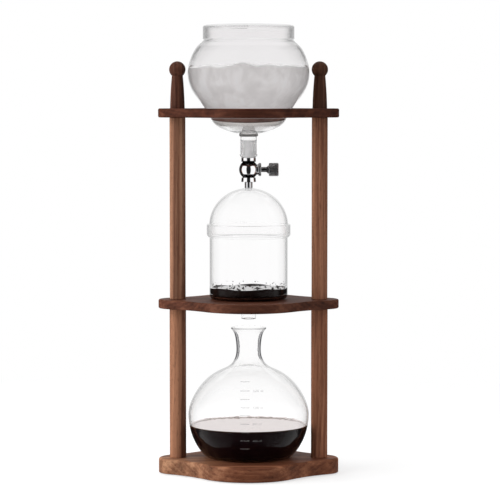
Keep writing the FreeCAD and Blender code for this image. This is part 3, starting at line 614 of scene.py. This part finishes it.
# ---- Ice and water ----
ICE_DROP = 7.2 * MM         # from the highest lump of ice down to the water
ICE_HILLS = (
    (-52, -52, 2.4, 8), (-9, -70, 6.4, 9.5), (-8, 0, 6.6, 20),
    (22, -66, 2.8, 9), (48, -54, 1.8, 9), (-30, 45, 6.0, 16),
    (28, 40, 6.5, 18), (58, 5, 3.5, 14), (-60, 10, 3.0, 14),
)
ICE_RIPPLE = 0.7 * MM
ICE_RIPPLE_WIDTH = 11 * MM
ICE_IOR = 1.32
SLUSH_TONES = (
    (0.40, (0.74, 0.72, 0.715)), (0.50, (0.84, 0.82, 0.815)), (0.60, (1.0, 0.985, 0.985)),
)
SLUSH_BASE = (1.0, 0.95, 0.93)
# Heights from the shelf's top: over which painted light makes the slush paler further down, and
# where its pale base ends
PAINTED_LIGHT_SPAN = (12 * MM, 48 * MM)
BASE_END = (3.0 * MM, 1.8 * MM)
# Heights from the shelf's underside: where the outlet widens to the foot, and water turns to slush
FOOT_START = (-26 * MM, -22 * MM)
FREEZING = (-1.0 * MM, 3.0 * MM)
CLEAR_WATER = (0.99, 0.99, 0.99)
FOOT_WATER = (0.73, 0.70, 0.67)
# The band of water right below the shelf with a painted reflection of the shelf's wood in its
# colour, brown and darker along its lower edge
WOOD_REFLECTION_DEPTH = 1.6 * MM
WOOD_REFLECTION_TILT = 0.112
WOOD_REFLECTION_START = 0.8 * MM      # over which it comes in
WOOD_REFLECTION_TURN = (2.6 * MM, 1.2 * MM)       # over which it goes over to its dark lower edge
WOOD_REFLECTION_TONES = ((0.35, (0.11, 0.050, 0.037)), (0.65, (0.20, 0.100, 0.078)))
WOOD_REFLECTION_LOWER = (0.045, 0.022, 0.018)


def ice_and_water():
    level = top_of("ice_and_water") - ICE_DROP

    def top(x, y):
        ripple = lumps(x, y, ICE_RIPPLE_WIDTH, 3.0)
        return level + hills(x, y, ICE_HILLS) + ICE_RIPPLE * ripple

    materials = [slush("ice_and_water"), wet_ice_and_highlight("wet_ice_and_highlight")]
    # rim=1: the white top material also covers the side's highest row, a painted highlight line
    # along the ice's edge.
    filled("ice_and_water", "ice_and_water_fill", top, materials, "bowl",
           side_rows=70, top_rows=26, rim=1)


def wet_ice_and_highlight(name):
    """The wet top of the ice, and a painted highlight: its whiter colour also covers the side's
    highest row, as a light line along the ice's edge.
    """
    s = Shader(name)
    cloud = s.noise(s.place(), 60.0, detail=3)
    surface = s.surface(
        Base_Color=s.ramp(cloud, (0.35, (0.90, 0.89, 0.89)), (0.65, (1.0, 1.0, 1.0))),
        Roughness=0.15,
        IOR=ICE_IOR,
        Transmission_Weight=0.25,
        Normal=s.bump(cloud, 1.0 * MM, 0.4),
    )
    return s.finish(lamps_pass(s, surface, (0.8, 0.8, 0.8)))


def slush_colour(s, milk, height, shelf_top):
    """Cloudy lumps, made paler further down by painted light where less light reaches, and palest
    where they lie on the shelf's level.
    """
    # Painted light: the slush is lightened lower down, where less light reaches it.
    lightened_low = s.band(height, *(shelf_top + rise for rise in PAINTED_LIGHT_SPAN), 1.06, 0.99)
    ice = s.mix(1.0, s.ramp(milk, *SLUSH_TONES), lightened_low, "MULTIPLY")
    base = s.band(height, *(shelf_top + rise for rise in BASE_END))
    return s.mix(s.math("MULTIPLY", base, 0.8), ice, SLUSH_BASE)


def water_colour(s, cloud, height, wood_reflection, reflection_height, reflection_low, underside):
    """Clear in the outlet, greyer in the bowl's foot, and brown right below the shelf, where a
    reflection of the shelf's wood is painted in.
    """
    lower = s.band(reflection_height, *(reflection_low + rise for rise in WOOD_REFLECTION_TURN))
    # Painted reflection of the shelf's wood, darker along its lower edge.
    brown = s.mix(s.math("MULTIPLY", lower, 0.75), s.ramp(cloud, *WOOD_REFLECTION_TONES), WOOD_REFLECTION_LOWER)
    foot = s.band(height, *(underside + rise for rise in FOOT_START))
    return s.mix(wood_reflection, s.mix(foot, CLEAR_WATER, FOOT_WATER), brown)


def slush(name):
    """Cloudy slush over clear meltwater, with a painted reflection of the shelf's wood just below
    the shelf.
    """
    underside, shelf_top = (corner.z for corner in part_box("top_shelf"))
    s = Shader(name)
    point = s.place()
    xyz = s.axes(point)
    height = xyz["Z"]
    cloud = s.noise(point, 32.0, detail=3, roughness=0.55, distortion=0.6)
    wisp = s.noise(s.stretch(point, (70, 70, 40), (4, 2, 1)), detail=3, distortion=1.2)
    milk = s.math("ADD", s.math("MULTIPLY", cloud, 0.65), s.math("MULTIPLY", wisp, 0.35))
    ice = slush_colour(s, milk, height, shelf_top)
    # Painted reflection: a brown band of the shelf's wood, tilted along Y, just below the shelf.
    reflection_low = underside - WOOD_REFLECTION_DEPTH
    reflection_height = s.math("SUBTRACT", height, s.math("MULTIPLY", xyz["Y"], WOOD_REFLECTION_TILT))
    wood_reflection = s.band(reflection_height, reflection_low, reflection_low + WOOD_REFLECTION_START)
    water = water_colour(s, cloud, height, wood_reflection, reflection_height, reflection_low, underside)
    frozen = s.band(height, *(underside + rise for rise in FREEZING))
    unfrozen_reflection = s.math("MULTIPLY", wood_reflection, s.math("SUBTRACT", 1.0, frozen))
    dull = s.math("MAXIMUM", frozen, s.math("MULTIPLY", wood_reflection, 0.8))
    clearness = s.band(frozen, 0.0, 1.0, 0.95, 0.88)
    surface = s.surface(
        Base_Color=s.mix(frozen, water, ice),
        Roughness=s.math("MULTIPLY", dull, 0.60),
        IOR=ICE_IOR,
        Specular_IOR_Level=0.2,
        Transmission_Weight=s.math("SUBTRACT", clearness, s.math("MULTIPLY", unfrozen_reflection, 0.6)),
        Normal=s.bump(milk, 1.2 * MM, 0.5),
    )
    return s.finish(lamps_pass(s, surface, (0.85, 0.85, 0.85)))


# ---- Coffee grounds ----
GROUNDS_HILLS = (
    (12, -10, 1.7, 4), (25, -24, 0.9, 4), (36, 8, 0.8, 5),
    (-38, 12, 0.4, 6), (4, 30, 0.8, 6), (-14, -34, 0.7, 3),
)
BED_DROP = 1.6 * MM         # from the highest of the bed's CAD shape down to its lumpy top
FLOOD_DROP = 1.0 * MM       # and down to the water that stands in it
FLOOD_EDGE = (0.15 * MM, 0.03 * MM)     # heights over the water between which grounds dry off
LUMP, LUMP_WIDTH = 0.7 * MM, 6 * MM
GRIT, GRIT_WIDTH = 0.25 * MM, 1.7 * MM
CREEP, CREEP_START = 1.6 * MM, 0.93     # how high the bed climbs the wall, and from which radius
CREEP_WAVES, CREEP_TURN = 5, 0.7
GROUNDS_TONES = (
    (0.35, (0.003, 0.0012, 0.001)), (0.60, (0.007, 0.003, 0.0024)), (0.80, (0.022, 0.010, 0.007)),
)
CRUMB_SEED = 12
CRUMB_COUNT = 66            # every second one is a fleck on the glass
FLECK_SIZE = (0.35, 0.9)    # radii and heights in millimetres
FLECK_CLIMB = (0.5, 6.0)
CLUMP_SIZE = (0.5, 1.4)
CLUMP_SPREAD = (0.02, 0.9)  # the share of the bed's area they lie on
CLUMP_RISE = 0.3            # of its size, from the bed to its middle
FLECK_GAP = 0.2 * MM
CRUMB_LUMPS, CRUMB_GRAIN = 0.45, 1.3
CRUMB_HEIGHT = 0.75         # of its width


def grounds_surface(level, wall):
    """The bed's top: lumpy, gritty, and drawn up a little where it touches the glass."""

    def top(x, y):
        creep = max(0.0, math.hypot(x, y) / wall - CREEP_START) / (1 - CREEP_START)
        wave = 0.5 + 0.5 * math.sin(CREEP_WAVES * math.atan2(y, x) + CREEP_TURN)
        bed = level - BED_DROP + hills(x, y, GROUNDS_HILLS)
        bed += LUMP * lumps(x, y, LUMP_WIDTH, 1.5) + GRIT * lumps(x, y, GRIT_WIDTH, 7.5)
        return max(bed, level - FLOOD_DROP) + CREEP * creep ** 2 * wave

    return top


def grounds_material(name, shine, flood=None):
    """Spent grounds. shine is their specular level: lower where they lie against the glass.
    flood is the height up to which water stands between them."""
    s = Shader(name)
    point = s.place()
    grain = s.noise(point, 900.0, detail=3, roughness=0.7)
    patch = s.noise(point, 120.0, detail=2)
    roughness = s.band(patch, 0.35, 0.65, 0.30, 0.75)
    tooth = 0.7
    if flood:
        water = s.band(s.axes(point)["Z"], *(flood + rise for rise in FLOOD_EDGE))
        shine = s.band(water, 0.0, 1.0, shine, 0.6)
        roughness = s.math("MULTIPLY", roughness, s.band(water, 0.0, 0.8, 1.0, 0.0))
        tooth = s.band(water, 0.0, 1.0, tooth, 0.04)
    surface = s.surface(
        Base_Color=s.ramp(grain, *GROUNDS_TONES),
        Roughness=roughness,
        Specular_IOR_Level=shine,
        Specular_Tint=(1.0, 0.92, 0.93),
        Normal=s.bump(grain, 0.5 * MM, tooth),
    )
    return s.finish(surface)


def coffee_grounds():
    side = grounds_material("grounds_side", 0.07)
    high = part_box("coffee_grounds")[1]
    wet = grounds_material("grounds_wet", 0.32, flood=high.z - FLOOD_DROP)
    top = grounds_surface(high.z, high.x)
    filled("coffee_grounds", "grounds_bed", top, [side, wet], "chamber",
           side_rows=14, top_rows=44)
    scatter_crumbs(wet, top, high.x)


def scatter_crumbs(material, top, wall):
    """Loose clumps on top of the bed and a few flecks stuck to the glass above it."""
    dice = random.Random(CRUMB_SEED)
    mesh = bmesh.new()
    for index in range(CRUMB_COUNT):
        on_glass = index % 2 == 0
        angle = dice.uniform(0, 2 * math.pi)
        radius = wall - FLECK_GAP if on_glass else wall * math.sqrt(dice.uniform(*CLUMP_SPREAD))
        size = dice.uniform(*(FLECK_SIZE if on_glass else CLUMP_SIZE)) * MM
        x, y = radius * math.cos(angle), radius * math.sin(angle)
        height = top(x, y) + (dice.uniform(*FLECK_CLIMB) * MM if on_glass else CLUMP_RISE * size)
        made = bmesh.ops.create_icosphere(mesh, subdivisions=2, radius=size)
        seed = Vector((index, 0.5 * index, 2.0))
        for vertex in made["verts"]:
            lump = 1 + CRUMB_LUMPS * noise.noise(vertex.co / size * CRUMB_GRAIN + seed)
            vertex.co = vertex.co * lump
            vertex.co.z *= CRUMB_HEIGHT
            vertex.co += Vector((x, y, height))
    piece_from(mesh, "grounds_crumbs", [material], "chamber")


# ---- Brewed coffee ----
MENISCUS, MENISCUS_START = 1.6 * MM, 0.965      # its height, and from which radius it climbs
COFFEE_TONES = ((0.35, (0.0040, 0.0014, 0.0018)), (0.65, (0.0070, 0.0026, 0.0030)))
AMBER = (0.30, 0.17, 0.085)
AMBER_START = 0.10 * MM     # above the coffee's level
AMBER_DEPTH = (-40 * MM, 20 * MM, 0.25, 1.0)    # the amber shows less in front than behind
BODY_SHINE = 0.05
STILL_SHINE = (0.55, 0.85, 0.5, 17.0)   # facing values, and the specular levels there


def brewed_coffee():
    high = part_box("brewed_coffee")[1]

    def top(x, y):
        near = max(0.0, math.hypot(x, y) / high.x - MENISCUS_START) / (1 - MENISCUS_START)
        return high.z + MENISCUS * near ** 2

    side = coffee_material("coffee_body", high.z, BODY_SHINE)
    face = coffee_material("coffee_surface", high.z)
    filled("brewed_coffee", "brewed_coffee_fill", top, [side, face], "flask",
           side_rows=30, top_rows=40)


def coffee_material(name, level, shine=None):
    """Black coffee, amber where it thins out against the glass. shine is its specular level, or
    None for a still surface, which mirrors nearly everything when seen from low down."""
    s = Shader(name)
    point = s.place()
    xyz = s.axes(point)
    edge = s.band(xyz["Z"], level + AMBER_START, level + MENISCUS)
    edge = s.math("MULTIPLY", edge, s.band(xyz["Y"], *AMBER_DEPTH))
    deep = s.ramp(s.noise(point, 24.0, detail=2), *COFFEE_TONES)
    if shine is None:
        facing = s.node("LayerWeight", Blend=0.5).outputs["Facing"]
        shine = s.band(facing, *STILL_SHINE)
    surface = s.surface(
        Base_Color=s.mix(edge, deep, AMBER),
        Roughness=0.0,
        IOR=1.36,
        Specular_Tint=(1.0, 0.94, 0.93),
        Specular_IOR_Level=shine,
    )
    return s.finish(surface)


# ---- Marks printed on the flask ----
MARK_HEIGHTS = (42.8, 54.1, 65.4, 76.7, 87.7, 97.8, 108.1, 118.4, 129.2)
MARK_VOLUME = 200           # millilitres from one mark to the next
MARK_START_X = -10.8 * MM
MARK_LENGTH = 12.0 * MM
MARK_WIDTH = 0.8 * MM
MARK_STEPS = 12
LABEL_START_X = 5.2 * MM
LABEL_HEIGHT = 3.2 * MM
LABEL_SIZE = 1.35 * LABEL_HEIGHT
PRINT_GAP = 0.06 * MM
SAME_POINT = 1e-7


def print_ink():
    """Thin grey ink, a little speckled."""
    s = Shader("print_ink")
    speck = s.noise(s.place(), 1500.0, detail=2)
    surface = s.surface(
        Base_Color=(0.27, 0.265, 0.27),
        Roughness=0.6,
        Alpha=s.spread(speck, 0.42, 0.62),
    )
    return s.finish(surface)


def label_shape(text):
    """A number as flat polygons: a list of faces, each a list of (x, y) points."""
    curve = bpy.data.curves.new("label", "FONT")
    curve.body = text
    curve.size = LABEL_SIZE
    curve.resolution_u = 3
    holder = bpy.data.objects.new("label", curve)
    data = holder.to_mesh()
    faces = [[tuple(data.vertices[i].co[:2]) for i in face.vertices] for face in data.polygons]
    holder.to_mesh_clear()
    bpy.data.objects.remove(holder)
    bpy.data.curves.remove(curve)
    return faces


def flask_marks():
    """Volume marks on the outside of the flask, every second one numbered."""
    radius = reach_of("flask")
    mesh = bmesh.new()

    def printed(corners):
        """One face of ink, from (x, z) corners laid on the flask's front."""
        verts = []
        for x, z in corners:
            around = radius(z) + PRINT_GAP
            verts.append(mesh.verts.new((x, -math.sqrt(around ** 2 - x ** 2), z)))
        mesh.faces.new(verts)

    for number, height in enumerate(MARK_HEIGHTS, 1):
        height = height * MM
        low, high = height - MARK_WIDTH / 2, height + MARK_WIDTH / 2
        for step in range(MARK_STEPS):
            left = MARK_START_X + MARK_LENGTH * step / MARK_STEPS
            right = MARK_START_X + MARK_LENGTH * (step + 1) / MARK_STEPS
            printed([(left, low), (right, low), (right, high), (left, high)])
        if number % 2 == 0:
            for face in label_shape(f"{MARK_VOLUME * number} ml"):
                printed([(LABEL_START_X + x, height - LABEL_HEIGHT / 2 + y) for x, y in face])
    bmesh.ops.remove_doubles(mesh, verts=mesh.verts[:], dist=SAME_POINT)
    piece_from(mesh, "flask_marks", [print_ink()], "flask", smooth=False)


# ---- Camera, floor and lamps ----
def make_camera():
    data = bpy.data.cameras.new("camera")
    data.lens = CAMERA_LENS
    data.shift_x = CAMERA_SHIFT_X
    data.clip_end = CAMERA_REACH
    camera = bpy.data.objects.new("camera", data)
    camera.location = CAMERA_PLACE
    camera.rotation_euler = (math.pi / 2 - CAMERA_PITCH, 0, 0)
    bpy.context.scene.collection.objects.link(camera)
    bpy.context.scene.camera = camera


def screens(s, x, y):
    """The ring of lighter and darker screens that mirrors see, from a direction's X and Y."""
    reach = s.math("SQRT", s.math("ADD", s.math("MULTIPLY", x, x), s.math("MULTIPLY", y, y)))
    turned = s.math("DIVIDE", y, s.math("MAXIMUM", reach, LEAST_REACH))
    angle = s.math("DIVIDE", s.math("ARCCOSINE", s.math("MULTIPLY", turned, -1.0)), math.pi)
    return s.ramp(angle, *[(degrees / 180, (level,) * 3) for degrees, level in MIRROR_LEVELS])


def looked_at(s):
    """1 for the rays that see the studio's white, straight or through the glass."""
    rays = s.node("LightPath").outputs
    return s.math("MAXIMUM", rays["Is Camera Ray"], rays["Is Transmission Ray"])


def in_mirrors(s):
    """1 for the rays that mirrors send out."""
    return s.node("LightPath").outputs["Is Glossy Ray"]


def make_floor():
    """A pale floor that keeps the shadow near the tower and goes white further out. Mirrors see
    the screens' colours on it."""
    s = Shader("floor")
    point = s.place()
    outside = s.band(s.length(point), *SHADOW_REACH)
    paint = s.node("BsdfDiffuse", Color=(FLOOR_ALBEDO,) * 3).outputs[0]
    near = s.feed(s.node("AddShader"), 0, paint, s.glow(FLOOR_LIFT))
    seen = s.blend(outside, near, s.glow(1.0))
    xyz = s.axes(point)
    mirrored = s.glow(1.0, screens(s, xyz["X"], xyz["Y"]))
    unseen = s.blend(in_mirrors(s), paint, mirrored)
    material = s.finish(s.blend(looked_at(s), unseen, seen))
    corners = [(x * FLOOR_HALF, y * FLOOR_HALF, 0) for x, y in ((-1, -1), (1, -1), (1, 1), (-1, 1))]
    mesh = bpy.data.meshes.new("floor")
    mesh.from_pydata(corners, [], [(0, 1, 2, 3)])
    mesh.materials.append(material)
    floor = bpy.data.objects.new("floor", mesh)
    bpy.context.scene.collection.objects.link(floor)


def make_world():
    """White where it is looked at, a plain fill for the lit surfaces, and a ring of lighter and
    darker screens in mirrors."""
    world = bpy.data.worlds.new("studio")
    bpy.context.scene.world = world
    s = Shader(holder=world)
    towards = s.axes(s.node("TexCoord").outputs["Generated"])
    lean = s.math("MINIMUM", *[s.math("MULTIPLY", towards["Y"], share) for share in OVERHEAD_LEAN])
    overhead = s.band(s.math("ADD", towards["Z"], lean), *OVERHEAD_SINE)
    around = s.mix(overhead, screens(s, towards["X"], towards["Y"]), (OVERHEAD_LEVEL,) * 3)
    mirrored = s.mix(in_mirrors(s), (FILL_LEVEL,) * 3, around)
    colour = s.mix(looked_at(s), mirrored, WHITE)
    s.finish(s.node("Background", Color=colour, Strength=1.0).outputs[0], "OutputWorld")


def softbox(name, size, level, place, turn):
    """A panel that lights the tower and shows in nothing."""
    data = bpy.data.lights.new(name, "AREA")
    data.shape = "RECTANGLE"
    data.size, data.size_y = size
    data.energy = level * math.pi * size[0] * size[1]
    lamp = bpy.data.objects.new(name, data)
    lamp.location = place
    lamp.rotation_euler = turn
    lamp.visible_camera = False
    lamp.visible_glossy = False
    lamp.visible_transmission = False
    bpy.context.scene.collection.objects.link(lamp)


def upright_softbox(name, azimuth, size, level):
    """A tall panel facing the tower."""
    angle = math.radians(azimuth)
    x, y = SOFTBOX_DISTANCE * math.sin(angle), -SOFTBOX_DISTANCE * math.cos(angle)
    softbox(name, size, level, (x, y, STUDIO_HEIGHT), (math.pi / 2, 0, angle))


def make_studio():
    make_world()
    make_floor()
    for azimuth, level in SOFTBOXES:
        upright_softbox("softbox", azimuth, SOFTBOX_SIZE, level)
    for azimuth, level in REAR_BOXES:
        upright_softbox("rear_box", azimuth, REAR_BOX_SIZE, level)
    overhead = (0, 0, STUDIO_HEIGHT + SOFTBOX_DISTANCE)
    softbox("top_box", TOP_BOX_SIZE, TOP_BOX_LEVEL, overhead, (0, 0, 0))
    bpy.context.scene.view_settings.view_transform = "Standard"


# ---- Everything ----
make_camera()
make_studio()
dress_wood()
dress_glass()
dress_valve()
dress_small_parts()
ice_and_water()
coffee_grounds()
brewed_coffee()
flask_marks()
